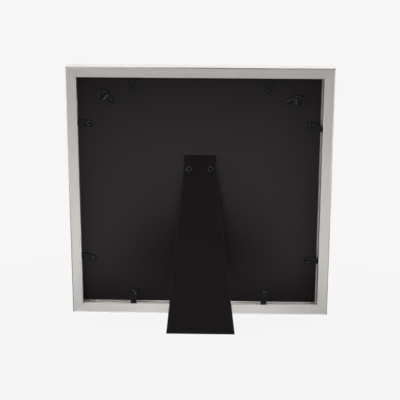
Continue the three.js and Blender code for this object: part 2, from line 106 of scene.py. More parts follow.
def noise_on(material, scale, detail, stretch=(1, 1, 1), centre=(0, 0, 0)):
    """Noise on the piece's own coordinates, turned so that they follow the leaning frame."""
    place = add(material, "ShaderNodeTexCoord")
    upright = add(material, "ShaderNodeMapping")
    upright.inputs["Rotation"].default_value = (lean, 0, 0)
    upright.inputs["Location"].default_value = centre
    stretched = add(material, "ShaderNodeVectorMath", operation="MULTIPLY")
    stretched.inputs[1].default_value = stretch
    noise = add(material, "ShaderNodeTexNoise")
    noise.inputs["Scale"].default_value = scale
    noise.inputs["Detail"].default_value = detail
    join(material, place.outputs["Object"], upright.inputs["Vector"])
    join(material, upright.outputs["Vector"], stretched.inputs[0])
    join(material, stretched.outputs["Vector"], noise.inputs["Vector"])
    return noise


def tint(material, noise, dark, light, socket, low=noise_low, high=noise_high):
    """The noise as a colour between two tones."""
    ramp = add(material, "ShaderNodeValToRGB")
    ramp.color_ramp.elements[0].position = low
    ramp.color_ramp.elements[0].color = dark
    ramp.color_ramp.elements[1].position = high
    ramp.color_ramp.elements[1].color = light
    join(material, noise.outputs["Fac"], ramp.inputs["Fac"])
    join(material, ramp.outputs["Color"], socket)


def vary(material, noise, low, high, socket):
    """The noise as a value between two ends."""
    span = add(material, "ShaderNodeMapRange")
    span.inputs["From Min"].default_value = noise_low
    span.inputs["From Max"].default_value = noise_high
    span.inputs["To Min"].default_value = low
    span.inputs["To Max"].default_value = high
    join(material, noise.outputs["Fac"], span.inputs["Value"])
    join(material, span.outputs["Result"], socket)


def emboss(material, noise, strength, depth, shader):
    """The noise as relief."""
    bump = add(material, "ShaderNodeBump")
    bump.inputs["Strength"].default_value = strength
    bump.inputs["Distance"].default_value = depth
    join(material, noise.outputs["Fac"], bump.inputs["Height"])
    join(material, bump.outputs["Normal"], shader.inputs["Normal"])


def placed(name, data):
    """An object at the origin, in the scene."""
    piece = bpy.data.objects.new(name, data)
    scene.collection.objects.link(piece)
    return piece


def joined_copy(node, name):
    """A node's shape as one joined mesh with its flat faces whole."""
    mesh = nodes[node].data.copy()
    mesh.materials.clear()
    shape = bmesh.new()
    shape.from_mesh(mesh)
    bmesh.ops.remove_doubles(shape, verts=shape.verts, dist=same_point)
    bmesh.ops.dissolve_limit(shape, angle_limit=same_plane, verts=shape.verts, edges=shape.edges)
    for face in shape.faces:
        face.smooth = True
    shape.to_mesh(mesh)
    shape.free()
    return placed(name, mesh)


def soften(piece, radius, finish, edge_finish, along=None):
    """Rounds a piece's sharp edges, or only those along one direction, where its finish is rubbed."""
    piece.data.materials.append(finish)
    piece.data.materials.append(edge_finish)
    shape = bmesh.new()
    shape.from_mesh(piece.data)
    rounded = shape.edges.layers.float.new("bevel_weight_edge")
    for edge in shape.edges:
        if edge.calc_face_angle() < sharp_edge:
            continue
        course = (edge.verts[1].co - edge.verts[0].co).normalized()
        if along is None or abs(course.dot(along)) > same_course:
            edge[rounded] = 1
    shape.to_mesh(piece.data)
    shape.free()
    rounding = piece.modifiers.new("rounded edges", "BEVEL")
    rounding.width = radius
    rounding.segments = edge_segments
    rounding.limit_method = "WEIGHT"
    rounding.material = 1
    flat = piece.modifiers.new("flat faces", "WEIGHTED_NORMAL")
    flat.weight = flat_weight


def silver_foil(name, dark, light, roughness, stretch):
    """Foil with its grain drawn out along the rail."""
    material, shader = new_finish(name, roughness, metallic=foil_metal)
    grain = noise_on(material, 1, foil_detail, stretch)
    smoothest = roughness - foil_roughness_swing
    roughest = roughness + foil_roughness_swing
    tint(material, grain, dark, light, shader.inputs["Base Color"])
    vary(material, grain, smoothest, roughest, shader.inputs["Roughness"])
    emboss(material, grain, foil_relief, relief_depth, shader)
    return material


level_grain = (grain_along, grain_across, grain_across)
upright_grain = (grain_across, grain_across, grain_along)
rails = (
    ("bottom", level_grain, across),
    ("left", upright_grain, upward),
    ("top", level_grain, across),
    ("right", upright_grain, upward))
for side, grain_stretch, length_way in rails:
    rail = joined_copy(f"{side}_rail", f"{side}_rail_foil")
    satin = silver_foil(f"silver_foil_{side}", foil_dark, foil_light, foil_roughness, grain_stretch)
    bright = silver_foil(f"rubbed_foil_{side}", foil_light, foil_rubbed, rubbed_roughness, grain_stretch)
    soften(rail, rail_edge, satin, bright, length_way)
    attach(rail, "frame")
    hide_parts(f"{side}_rail")

# Corner nails: bent strips of steel, driven across each mitre from the back and set below the foil. Their
# pockets are stopped with putty and touched up with silver paint, so that hardly a line shows.
putty_swell = 0.00019
putty_below = 0.00001
paint_dark = (0.52, 0.5, 0.48, 1)
paint_light = (0.56, 0.54, 0.52, 1)
paint_metal = 0.2
paint_roughness = 0.48
paint_roughness_swing = 0.06
paint_scale = 900
paint_detail = 3
paint_relief = 0.1
silver_paint, paint_shader = new_finish("silver_touch_up", paint_roughness, metallic=paint_metal)
paint_grain = noise_on(silver_paint, paint_scale, paint_detail)
paint_smoothest = paint_roughness - paint_roughness_swing
paint_roughest = paint_roughness + paint_roughness_swing
tint(silver_paint, paint_grain, paint_dark, paint_light, paint_shader.inputs["Base Color"])
vary(silver_paint, paint_grain, paint_smoothest, paint_roughest, paint_shader.inputs["Roughness"])
emboss(silver_paint, paint_grain, paint_relief, relief_depth, paint_shader)
rail_back = max(vertex.co.dot(outward) for vertex in nodes["top_rail"].data.vertices)
for corner in ("bottom_left", "top_left", "top_right", "bottom_right"):
    nail = joined_copy(f"corner_nail_{corner}", f"corner_nail_{corner}_stopped")
    swollen = bmesh.new()
    swollen.from_mesh(nail.data)
    nail_top = max(point.co.dot(outward) for point in swollen.verts)
    for point in swollen.verts:
        on_top = nail_top - point.co.dot(outward) < putty_swell
        point.co += point.normal * point.calc_shell_factor() * putty_swell
        if on_top:
            point.co += outward * (rail_back - putty_below - point.co.dot(outward))
    swollen.to_mesh(nail.data)
    swollen.free()
    nail.data.shade_flat()
    nail.data.materials.append(silver_paint)
    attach(nail, "frame")
    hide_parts(f"corner_nail_{corner}")

# Glass: a pane of picture glass, cut to the rebate and coated so that it hardly mirrors the room. It is
# clean but for a faint haze, and lies against the lip.
glass_tone = (0.99, 0.995, 0.992, 1)
coated_index = 1.22
glass_roughness = 0.02
haze_scale = 30
haze_detail = 4
glass_finish, glass_shader = new_finish("picture_glass", glass_roughness)
glass_shader.inputs["Base Color"].default_value = glass_tone
glass_shader.inputs["Transmission Weight"].default_value = 1
glass_shader.inputs["IOR"].default_value = coated_index
haze = noise_on(glass_finish, haze_scale, haze_detail)
vary(glass_finish, haze, 0, 2 * glass_roughness, glass_shader.inputs["Roughness"])
nodes["glass_pane"].data.materials[0] = glass_finish

# Window mat: white card with four windows, set like a pinwheel and cut at a slant, so that the brighter core
# shows as a thin line round each one. It is laid on the glass.
card_dark = (0.78, 0.765, 0.73, 1)
card_light = (0.83, 0.815, 0.78, 1)
card_roughness = 0.9
card_scale = 700
card_relief = 0.25
core_dark = (0.86, 0.855, 0.84, 1)
core_light = (0.9, 0.895, 0.88, 1)
core_roughness = 0.95
core_scale = 900
core_relief = 0.2
steepest_cut = 0.2
flattest_cut = 0.9
fibre_detail = 6
fibre_specular = 0.3


def fibrous(name, dark, light, roughness, scale, relief):
    """Card or board as its fibres show."""
    material, shader = new_finish(name, roughness, specular=fibre_specular)
    fibre = noise_on(material, scale, fibre_detail)
    tint(material, fibre, dark, light, shader.inputs["Base Color"])
    emboss(material, fibre, relief, relief_depth, shader)
    return material


card_finish = fibrous("mat_card", card_dark, card_light, card_roughness, card_scale, card_relief)
core_finish = fibrous("mat_core", core_dark, core_light, core_roughness, core_scale, core_relief)
window_mat = joined_copy("window_mat", "window_mat_card")
window_mat.data.materials.append(card_finish)
window_mat.data.materials.append(core_finish)
for face in window_mat.data.polygons:
    face.use_smooth = False
    facing_out = abs(face.normal.dot(outward))
    face.material_index = 1 if steepest_cut < facing_out < flattest_cut else 0
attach(window_mat, "frame")
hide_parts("window_mat")

# Photo prints: four semi gloss prints, taped behind the windows. Each shows a plain made up landscape of sky
# and ridges, in tones that fade with distance.
print_roughness = 0.3
cloud_scale = 28
cloud_detail = 6
cloud_stretch = (1, 1, 3.5)
cloud_drift = 0.5
sky_from = 0.65
sky_to = 1
crest_detail = 5
crest_apart = 0.37
ground_scale = 90
ground_detail = 6
ground_grain = 0.6
# A sky has a tone above the land and one overhead. A ridge has its crest's height, the crest's swing, the
# scale of its line and its tone.
landscapes = {
    "top_left": {
        "sky": ((0.72, 0.62, 0.5, 1), (0.2, 0.36, 0.58, 1)),
        "ridges": (
            (0.44, 0.09, 9, (0.32, 0.4, 0.48, 1)),
            (0.33, 0.07, 13, (0.16, 0.24, 0.28, 1)),
            (0.2, 0.05, 21, (0.07, 0.12, 0.09, 1))),
    },
    "top_right": {
        "sky": ((0.75, 0.78, 0.78, 1), (0.22, 0.45, 0.7, 1)),
        "ridges": (
            (0.5, 0.012, 30, (0.13, 0.32, 0.4, 1)),
            (0.3, 0.03, 16, (0.3, 0.44, 0.45, 1)),
            (0.22, 0.05, 12, (0.6, 0.5, 0.36, 1))),
    },
    "bottom_right": {
        "sky": ((0.6, 0.66, 0.68, 1), (0.3, 0.48, 0.66, 1)),
        "ridges": (
            (0.58, 0.14, 15, (0.5, 0.53, 0.56, 1)),
            (0.4, 0.06, 24, (0.2, 0.28, 0.2, 1)),
            (0.24, 0.06, 10, (0.2, 0.3, 0.08, 1))),
    },
    "bottom_left": {
        "sky": ((0.78, 0.45, 0.25, 1), (0.2, 0.2, 0.36, 1)),
        "ridges": (
            (0.46, 0.05, 12, (0.36, 0.2, 0.2, 1)),
            (0.36, 0.05, 18, (0.18, 0.1, 0.13, 1)),
            (0.22, 0.04, 14, (0.06, 0.045, 0.07, 1))),
    },
}


def landscape(name, node, sky, ridges):
    """A print's picture: its height runs from 0 to 1, and each ridge covers what lies behind it."""
    material, shader = new_finish(name, print_roughness)
    low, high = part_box(node)
    middle = Matrix.Rotation(lean, 3, "X") @ ((low + high) / 2)
    tall = (high.z - low.z) / math.cos(lean)
    place = add(material, "ShaderNodeTexCoord")
    upright = add(material, "ShaderNodeMapping")
    upright.inputs["Rotation"].default_value = (lean, 0, 0)
    upright.inputs["Location"].default_value = (-middle.x, -middle.y, tall / 2 - middle.z)
    join(material, place.outputs["Object"], upright.inputs["Vector"])
    apart = add(material, "ShaderNodeSeparateXYZ")
    join(material, upright.outputs["Vector"], apart.inputs["Vector"])
    height = add(material, "ShaderNodeMath", operation="DIVIDE")
    height.inputs[1].default_value = tall
    join(material, apart.outputs["Z"], height.inputs[0])
    cloud = noise_on(material, cloud_scale, cloud_detail, cloud_stretch)
    drift = add(material, "ShaderNodeMath", operation="MULTIPLY_ADD")
    drift.inputs[1].default_value = cloud_drift
    join(material, cloud.outputs["Fac"], drift.inputs[0])
    join(material, height.outputs["Value"], drift.inputs[2])
    air = add(material, "ShaderNodeValToRGB")
    air.color_ramp.elements[0].position = sky_from
    air.color_ramp.elements[0].color = sky[0]
    air.color_ramp.elements[1].position = sky_to
    air.color_ramp.elements[1].color = sky[1]
    join(material, drift.outputs["Value"], air.inputs["Fac"])
    picture = air.outputs["Color"]
    for number, (crest, swing, scale, tone) in enumerate(ridges):
        skyline = noise_on(material, scale, crest_detail, (1, 0, 0), (crest_apart * number, 0, 0))
        reach = add(material, "ShaderNodeMath", operation="MULTIPLY_ADD")
        reach.inputs[1].default_value = 2 * swing
        reach.inputs[2].default_value = crest - swing
        join(material, skyline.outputs["Fac"], reach.inputs[0])
        under = add(material, "ShaderNodeMath", operation="LESS_THAN")
        join(material, height.outputs["Value"], under.inputs[0])
        join(material, reach.outputs["Value"], under.inputs[1])
        grain = noise_on(material, ground_scale, ground_detail)
        ground = add(material, "ShaderNodeMix", data_type="RGBA", blend_type="MULTIPLY")
        ground.inputs["Factor"].default_value = ground_grain
        ground.inputs["A"].default_value = tone
        join(material, grain.outputs["Fac"], ground.inputs["B"])
        cover = add(material, "ShaderNodeMix", data_type="RGBA")
        join(material, under.outputs["Value"], cover.inputs["Factor"])
        join(material, picture, cover.inputs["A"])
        join(material, ground.outputs["Result"], cover.inputs["B"])
        picture = cover.outputs["Result"]
    join(material, picture, shader.inputs["Base Color"])
    return material


for window, view in landscapes.items():
    print_node = f"photo_print_{window}"
    nodes[print_node].data.materials[0] = landscape(f"landscape_{window}", print_node, **view)

# Backboard: hardboard faced with black paper, sawn to size and loose in the rebate. The paper has a faint
# tooth and a low sheen, and the sawn edge shows dark brown fibre.
board_edge = 0.0002
board_dark = (0.0042, 0.0034, 0.0037, 1)
board_light = (0.0052, 0.0042, 0.0046, 1)
board_roughness = 0.28
board_specular = 0.36
paper_sheen = (1, 0.9, 0.94, 1)
paper_smoother = 0.01
paper_rougher = 0.015
paper_detail = 4
mottle_scale = 35
tooth_scale = 2200
tooth_relief = 0.14
fine_depth = 0.0001
sawn_dark = (0.02, 0.015, 0.012, 1)
sawn_light = (0.045, 0.034, 0.026, 1)
sawn_roughness = 0.85
sawn_scale = 1500
sawn_relief = 0.3


def black_paper(name, dark, light, roughness, specular):
    """Black paper with a broad mottle and a fine tooth."""
    material, shader = new_finish(name, roughness, specular=specular)
    shader.inputs["Specular Tint"].default_value = paper_sheen
    tooth = noise_on(material, tooth_scale, paper_detail)
    mottle = noise_on(material, mottle_scale, paper_detail)
    smoothest = roughness - paper_smoother
    roughest = roughness + paper_rougher
    tint(material, mottle, dark, light, shader.inputs["Base Color"])
    vary(material, mottle, smoothest, roughest, shader.inputs["Roughness"])
    emboss(material, tooth, tooth_relief, fine_depth, shader)
    return material


board_finish = black_paper("black_board_paper", board_dark, board_light, board_roughness, board_specular)
sawn_edge = fibrous("sawn_hardboard", sawn_dark, sawn_light, sawn_roughness, sawn_scale, sawn_relief)
backboard = joined_copy("backboard", "backboard_black")
soften(backboard, board_edge, board_finish, sawn_edge)
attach(backboard, "frame")
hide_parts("backboard")

# Turn buttons: stamped from black lacquered steel strip, with a step that lifts the tip into its slot in the
# rail. The lacquer is worn thin on the edges that a thumb pushes.
button_edge = 0.00022
lacquer_dark = (0.0045, 0.004, 0.0042, 1)
lacquer_light = (0.008, 0.0074, 0.0077, 1)
lacquer_roughness = 0.42
lacquer_specular = 0.17
lacquer_smoother = 0.08
lacquer_rougher = 0.1
worn_dark = (0.005, 0.0046, 0.0048, 1)
worn_light = (0.011, 0.0104, 0.0107, 1)
worn_roughness = 0.4
worn_specular = 0.18
pit_scale = 1300
pit_detail = 4
pit_relief = 0.12


def lacquer(name, dark, light, roughness, specular):
    """Black lacquer with fine pits."""
    material, shader = new_finish(name, roughness, specular=specular)
    pits = noise_on(material, pit_scale, pit_detail)
    smoothest = roughness - lacquer_smoother
    roughest = roughness + lacquer_rougher
    tint(material, pits, dark, light, shader.inputs["Base Color"])
    vary(material, pits, smoothest, roughest, shader.inputs["Roughness"])
    emboss(material, pits, pit_relief, fine_depth, shader)
    return material


black_lacquer = lacquer("black_lacquer", lacquer_dark, lacquer_light, lacquer_roughness, lacquer_specular)
worn_lacquer = lacquer("worn_lacquer", worn_dark, worn_light, worn_roughness, worn_specular)
button_places = (
    "bottom_left", "bottom_right", "left_lower", "left_upper",
    "top_left", "top_right", "right_lower", "right_upper")
for place_name in button_places:
    button = joined_copy(f"turn_button_{place_name}", f"turn_button_{place_name}_steel")
    soften(button, button_edge, black_lacquer, worn_lacquer)
    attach(button, f"turn_button_{place_name}")
    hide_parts(f"turn_button_{place_name}")

# Hanger straps: black lacquered steel strip, folded double round the bar of the D ring. One eyelet through
# both layers holds each strap to the board, so that it can swivel.
hands = ("left", "right")
strap_edge = 0.0002
strap_dark = (0.0085, 0.0078, 0.0081, 1)
strap_light = (0.015, 0.014, 0.0145, 1)
strap_roughness = 0.4
strap_specular = 0.28
strap_lacquer = lacquer("strap_lacquer", strap_dark, strap_light, strap_roughness, strap_specular)
for hand in hands:
    strap = joined_copy(f"hanger_strap_{hand}", f"hanger_strap_{hand}_steel")
    soften(strap, strap_edge, strap_lacquer, worn_lacquer)
    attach(strap, f"hanger_strap_{hand}")
    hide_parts(f"hanger_strap_{hand}")

# D rings: round steel wire bent to a straight bar and a bow, and lacquered black. Each bar turns in the fold
# of its strap, and the ring lies on the board until the frame is hung.
wire_sides = 20
bow_points = 48
bend_points = 6
wire_sharp_edge = math.radians(60)


def new_tree(name, inputs):
    """A node tree with named inputs, the node that gives them and the node that takes the result."""
    tree = bpy.data.node_groups.new(name, "GeometryNodeTree")
    tree.interface.new_socket("Geometry", in_out="INPUT", socket_type="NodeSocketGeometry")
    for input_name, kind in inputs.items():
        tree.interface.new_socket(input_name, in_out="INPUT", socket_type=kind)
    tree.interface.new_socket("Geometry", in_out="OUTPUT", socket_type="NodeSocketGeometry")
    return tree, tree.nodes.new("NodeGroupInput"), tree.nodes.new("NodeGroupOutput")


def finish_tree(tree, given, shape, result):
    """Ends a tree: its shape is made real, shaded smooth and given its finish."""
    real = tree.nodes.new("GeometryNodeRealizeInstances")
    smooth = tree.nodes.new("GeometryNodeSetShadeSmooth")
    finish = tree.nodes.new("GeometryNodeSetMaterial")
    tree.links.new(shape, real.inputs["Geometry"])
    tree.links.new(real.outputs["Geometry"], smooth.inputs["Geometry"])
    tree.links.new(smooth.outputs["Geometry"], finish.inputs["Geometry"])
    tree.links.new(given.outputs["Finish"], finish.inputs["Material"])
    tree.links.new(finish.outputs["Geometry"], result.inputs["Geometry"])


def grown(source, tree, values, sharp_angle):
    """The plain mesh that a tree makes on a source object, which is then done with."""
    growth = source.modifiers.new(tree.name, "NODES")
    growth.node_group = tree
    for item in tree.interface.items_tree:
        if item.in_out == "INPUT" and item.name in values:
            growth[item.identifier] = values[item.name]
    shown = source.evaluated_get(bpy.context.evaluated_depsgraph_get())
    mesh = bpy.data.meshes.new_from_object(shown)
    mesh.materials.clear()
    mesh.materials.append(values["Finish"])
    for face in mesh.polygons:
        face.material_index = 0
    mesh.set_sharp_from_angle(angle=sharp_angle)
    bpy.data.objects.remove(source)
    return mesh


def basis_at(point, x_axis, y_axis, z_axis):
    """Three axes at a point."""
    basis = Matrix((x_axis, y_axis, z_axis)).transposed().to_4x4()
    basis.translation = point
    return basis


def extent(node, basis):
    """A node's lowest and highest corner along the axes of a basis."""
    flat = basis.inverted()
    points = [flat @ vertex.co for vertex in nodes[node].data.vertices]
    low = Vector([min(point[axis] for point in points) for axis in range(3)])
    high = Vector([max(point[axis] for point in points) for axis in range(3)])
    return low, high


ring_inputs = {
    "Wire radius": "NodeSocketFloat",
    "Bend radius": "NodeSocketFloat",
    "Bend points": "NodeSocketInt",
    "Sides": "NodeSocketInt",
    "Finish": "NodeSocketMaterial"}
ring_tree, ring_given, ring_result = new_tree("bent_wire", ring_inputs)
bend = ring_tree.nodes.new("GeometryNodeFilletCurve")
bend.mode = "POLY"
wire_round = ring_tree.nodes.new("GeometryNodeCurvePrimitiveCircle")
drawn_wire = ring_tree.nodes.new("GeometryNodeCurveToMesh")
ring_tree.links.new(ring_given.outputs["Geometry"], bend.inputs["Curve"])
ring_tree.links.new(ring_given.outputs["Bend points"], bend.inputs["Count"])
ring_tree.links.new(ring_given.outputs["Bend radius"], bend.inputs["Radius"])
ring_tree.links.new(ring_given.outputs["Wire radius"], wire_round.inputs["Radius"])
ring_tree.links.new(ring_given.outputs["Sides"], wire_round.inputs["Resolution"])
ring_tree.links.new(bend.outputs["Curve"], drawn_wire.inputs["Curve"])
ring_tree.links.new(wire_round.outputs["Curve"], drawn_wire.inputs["Profile Curve"])
finish_tree(ring_tree, ring_given, drawn_wire.outputs["Mesh"], ring_result)

for hand in hands:
    flip = joints[f"ring_flip_{hand}"]
    bar = Vector(flip["axis"])
    seat = basis_at(Vector(flip["pos_m"]), outward.cross(bar), outward, bar)
    ring_low, ring_high = extent(f"hanger_ring_{hand}", seat)
    wire = (ring_high.y - ring_low.y) / 2
    half_bar = ring_high.z - wire
    bow_reach = ring_high.x - wire
    shoulder = -ring_low.x
    bow = []
    for step in range(bow_points):
        bow_turn = math.pi * step / (bow_points - 1) - math.pi / 2
        bow.append((shoulder + (bow_reach - shoulder) * math.cos(bow_turn), half_bar * math.sin(bow_turn)))
    corners = [(0, -half_bar), *bow, (0, half_bar)]
    path = bpy.data.curves.new(f"ring_path_{hand}", "CURVE")
    path.dimensions = "3D"
    spline = path.splines.new("POLY")
    spline.points.add(len(corners) - 1)
    for point, (out, along_bar) in zip(spline.points, corners):
        point.co = (*(seat @ Vector((out, 0, along_bar))), 1)
    spline.use_cyclic_u = True
    ring_sizes = {
        "Wire radius": wire,
        "Bend radius": shoulder,
        "Bend points": bend_points,
        "Sides": wire_sides,
        "Finish": worn_lacquer}
    ring_mesh = grown(placed(f"ring_route_{hand}", path), ring_tree, ring_sizes, wire_sharp_edge)
    ring = placed(f"hanger_ring_{hand}_wire", ring_mesh)
    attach(ring, f"hanger_ring_{hand}")
    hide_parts(f"hanger_ring_{hand}")

# Easel leg: the same hardboard, sawn to a flare, with a matt face. Its bevelled top is the heel that stops
# it against the backboard, and its foot is cut to stand flat.
leg_edge = 0.0003
leg_dark = (0.0026, 0.002, 0.0022, 1)
leg_light = (0.0036, 0.0029, 0.0031, 1)
leg_roughness = 0.6
leg_specular = 0.06
leg_finish = black_paper("black_leg_paper", leg_dark, leg_light, leg_roughness, leg_specular)
leg = joined_copy("easel_leg", "easel_leg_black")
soften(leg, leg_edge, leg_finish, sawn_edge)
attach(leg, "easel")
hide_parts("easel_leg")

# Easel hinge: two leaves of black lacquered steel sheet, with their knuckles rolled round one headed pin.
# One leaf is fixed to the board and one to the leg, and the leg hides them both.
for node in ("hinge_board_leaf", "hinge_leg_leaf", "hinge_pin"):
    nodes[node].data.materials[0] = black_lacquer

# Eyelets: hollow rivets of blackened brass tube, each rolled over into a rim in front and a smaller tail
# behind. They hold the buttons, the hangers and one hinge leaf to the board, and the leg to the other leaf.
# Handling has rubbed their rims.
brass_dark = (0.0038, 0.0034, 0.0036, 1)
brass_rubbed = (0.04, 0.036, 0.034, 1)
brass_roughness = 0.3
brass_roughness_swing = 0.06
brass_specular = 0.14
brass_relief = 0.1
rubbed_from = 0.5
rubbed_to = 0.62
rubbed_scale = 420
rubbed_detail = 3
board_bore = 0.001
board_barrel = 0.0017
leg_bore = 0.0013
leg_barrel = 0.002
rim_height = 0.0009
tail_height = 0.0006
tail_flare = 0.001
rim_points = 12
round_points = 32
eyelet_sharp_edge = math.radians(50)
black_brass, brass_shader = new_finish("black_brass", brass_roughness, specular=brass_specular)
rubbed = noise_on(black_brass, rubbed_scale, rubbed_detail)
brass_colour = brass_shader.inputs["Base Color"]
brass_roughest = brass_roughness + brass_roughness_swing
brass_smoothest = brass_roughness - brass_roughness_swing
tint(black_brass, rubbed, brass_dark, brass_rubbed, brass_colour, rubbed_from, rubbed_to)
vary(black_brass, rubbed, brass_roughest, brass_smoothest, brass_shader.inputs["Roughness"])
emboss(black_brass, rubbed, brass_relief, fine_depth, brass_shader)
eyelet_inputs = {
    "Rim radius": "NodeSocketFloat",
    "Rim width": "NodeSocketFloat",
    "Rim squash": "NodeSocketVector",
    "Rim place": "NodeSocketVector",
    "Tail radius": "NodeSocketFloat",
    "Tail width": "NodeSocketFloat",
    "Tail squash": "NodeSocketVector",
    "Tail place": "NodeSocketVector",
    "Barrel radius": "NodeSocketFloat",
    "Barrel wall": "NodeSocketFloat",
    "Barrel length": "NodeSocketFloat",
    "Barrel place": "NodeSocketVector",
    "Facing": "NodeSocketRotation",
    "Finish": "NodeSocketMaterial"}
eyelet_tree, eyelet_given, eyelet_result = new_tree("rolled_eyelets", eyelet_inputs)


def swept_ring(radius, profile):
    """A profile taken round a circle."""
    circle = eyelet_tree.nodes.new("GeometryNodeCurvePrimitiveCircle")
    circle.inputs["Resolution"].default_value = round_points
    swept = eyelet_tree.nodes.new("GeometryNodeCurveToMesh")
    eyelet_tree.links.new(radius, circle.inputs["Radius"])
    eyelet_tree.links.new(circle.outputs["Curve"], swept.inputs["Curve"])
    eyelet_tree.links.new(profile, swept.inputs["Profile Curve"])
    return swept.outputs["Mesh"]


def rolled_end(end, start_angle):
    """A half round lip: the rim's swells away from the board and the tail's the other way."""
    roll = eyelet_tree.nodes.new("GeometryNodeCurveArc")
    roll.inputs["Resolution"].default_value = rim_points
    roll.inputs["Start Angle"].default_value = start_angle
    roll.inputs["Sweep Angle"].default_value = math.pi
    roll.inputs["Connect Center"].default_value = True
    squash = eyelet_tree.nodes.new("GeometryNodeTransform")
    eyelet_tree.links.new(eyelet_given.outputs[f"{end} width"], roll.inputs["Radius"])
    eyelet_tree.links.new(roll.outputs["Curve"], squash.inputs["Geometry"])
    eyelet_tree.links.new(eyelet_given.outputs[f"{end} squash"], squash.inputs["Scale"])
    eyelet_tree.links.new(eyelet_given.outputs[f"{end} place"], squash.inputs["Translation"])
    return swept_ring(eyelet_given.outputs[f"{end} radius"], squash.outputs["Geometry"])


barrel_wall = eyelet_tree.nodes.new("GeometryNodeCurvePrimitiveQuadrilateral")
barrel_sink = eyelet_tree.nodes.new("GeometryNodeTransform")
whole_eyelet = eyelet_tree.nodes.new("GeometryNodeJoinGeometry")
all_eyelets = eyelet_tree.nodes.new("GeometryNodeInstanceOnPoints")
eyelet_tree.links.new(eyelet_given.outputs["Barrel wall"], barrel_wall.inputs["Width"])
eyelet_tree.links.new(eyelet_given.outputs["Barrel length"], barrel_wall.inputs["Height"])
eyelet_tree.links.new(barrel_wall.outputs["Curve"], barrel_sink.inputs["Geometry"])
eyelet_tree.links.new(eyelet_given.outputs["Barrel place"], barrel_sink.inputs["Translation"])
barrel_tube = swept_ring(eyelet_given.outputs["Barrel radius"], barrel_sink.outputs["Geometry"])
for eyelet_part in (rolled_end("Rim", math.pi), barrel_tube, rolled_end("Tail", 0)):
    eyelet_tree.links.new(eyelet_part, whole_eyelet.inputs["Geometry"])
eyelet_tree.links.new(eyelet_given.outputs["Geometry"], all_eyelets.inputs["Points"])
eyelet_tree.links.new(whole_eyelet.outputs["Geometry"], all_eyelets.inputs["Instance"])
eyelet_tree.links.new(eyelet_given.outputs["Facing"], all_eyelets.inputs["Rotation"])
finish_tree(eyelet_tree, eyelet_given, all_eyelets.outputs["Instances"], eyelet_result)


def eyelets(name, groups, facing, body, bore, barrel):
    """Eyelets in place of groups of nodes, each group of one length, as one piece on one body."""
    basis = basis_at(Vector((0, 0, 0)), across, facing, across.cross(facing))
    turn = facing.to_track_quat("Z", "Y").to_euler()
    tail = barrel + tail_flare
    half_tail = (tail - bore) / 2
    together = bmesh.new()
    for holders in groups:
        seats = []
        for node in holders:
            low, high = extent(node, basis)
            middle = (low + high) / 2
            seats.append(basis @ Vector((middle.x, high.y - rim_height, middle.z)))
        head = (high.x - low.x) / 2
        half_rim = (head - bore) / 2
        length = high.y - low.y - rim_height
        points = bpy.data.meshes.new(f"{name}_seats")
        points.from_pydata(seats, [], [])
        eyelet_sizes = {
            "Rim radius": (head + bore) / 2,
            "Rim width": half_rim,
            "Rim squash": (1, rim_height / half_rim, 1),
            "Rim place": (0, 0, 0),
            "Tail radius": (tail + bore) / 2,
            "Tail width": half_tail,
            "Tail squash": (1, tail_height / half_tail, 1),
            "Tail place": (0, length - tail_height, 0),
            "Barrel radius": (bore + barrel) / 2,
            "Barrel wall": barrel - bore,
            "Barrel length": length,
            "Barrel place": (0, length / 2, 0),
            "Facing": turn,
            "Finish": black_brass}
        source = placed(f"{name}_source", points)
        together.from_mesh(grown(source, eyelet_tree, eyelet_sizes, eyelet_sharp_edge))
    mesh = bpy.data.meshes.new(name)
    together.to_mesh(mesh)
    together.free()
    mesh.materials.append(black_brass)
    piece = placed(name, mesh)
    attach(piece, body)
    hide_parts(*(node for holders in groups for node in holders))


fold = joints["leg_fold"]
fold_turn = Matrix.Rotation(-math.radians(fold["range_deg"][1]), 3, Vector(fold["axis"]))
board_groups = (
    [f"button_eyelet_{place_name}" for place_name in button_places],
    [f"hanger_eyelet_{hand}" for hand in hands],
    [f"board_leaf_rivet_{hand}" for hand in hands])
leg_groups = ([f"leg_eyelet_{hand}" for hand in hands],)
eyelets("board_eyelets", board_groups, outward, "frame", board_bore, board_barrel)
eyelets("leg_eyelets", leg_groups, fold_turn @ outward, "easel", leg_bore, leg_barrel)

# Studio: a pale floor that runs to the horizon, broad soft lamps overhead and in front, and a grazing and a
# low lamp on each side. In a mirror the floor shows a painted pool of light behind the frame, with a painted
# shadow round the leg's foot: this painted reflection gives the board its sheen. The camera stands behind
# the frame and a little above it.
half_floor = 20
floor_tone = (0.55, 0.55, 0.55, 1)
pale = (0.923, 0.923, 0.923, 1)
room_light = 0.04
shown_shadow = 0.045
shadow_near = 0.2
shadow_far = 0.6
# Painted light on the floor's mirrored glow: a pool of light behind the frame, dim outside it, and a painted
# shadow round the leg's foot; none of it comes from a lamp.
foot_place = (0.004, 0.1, 0)
painted_shadow_inner = 0.03
painted_shadow_outer = 0.14
painted_foot_shadow = 0.1
painted_pool_rim = 0.05
pool_edges = (
    {"way": (1, -0.14, 0), "full": 0.125, "gone": 0.16},
    {"way": (-1, -0.09, 0), "full": 0.11, "gone": 0.148},
    {"way": (0, 1, 0), "full": 0.52, "gone": 0.56},
    {"way": (0, -1, 0), "full": -0.115, "gone": 0.05})
floor_mesh = bpy.data.meshes.new("floor")
floor_corners = [(x * half_floor, y * half_floor, 0) for x, y in ((-1, -1), (1, -1), (1, 1), (-1, 1))]
floor_mesh.from_pydata(floor_corners, [], [(0, 1, 2, 3)])
floor = placed("floor", floor_mesh)


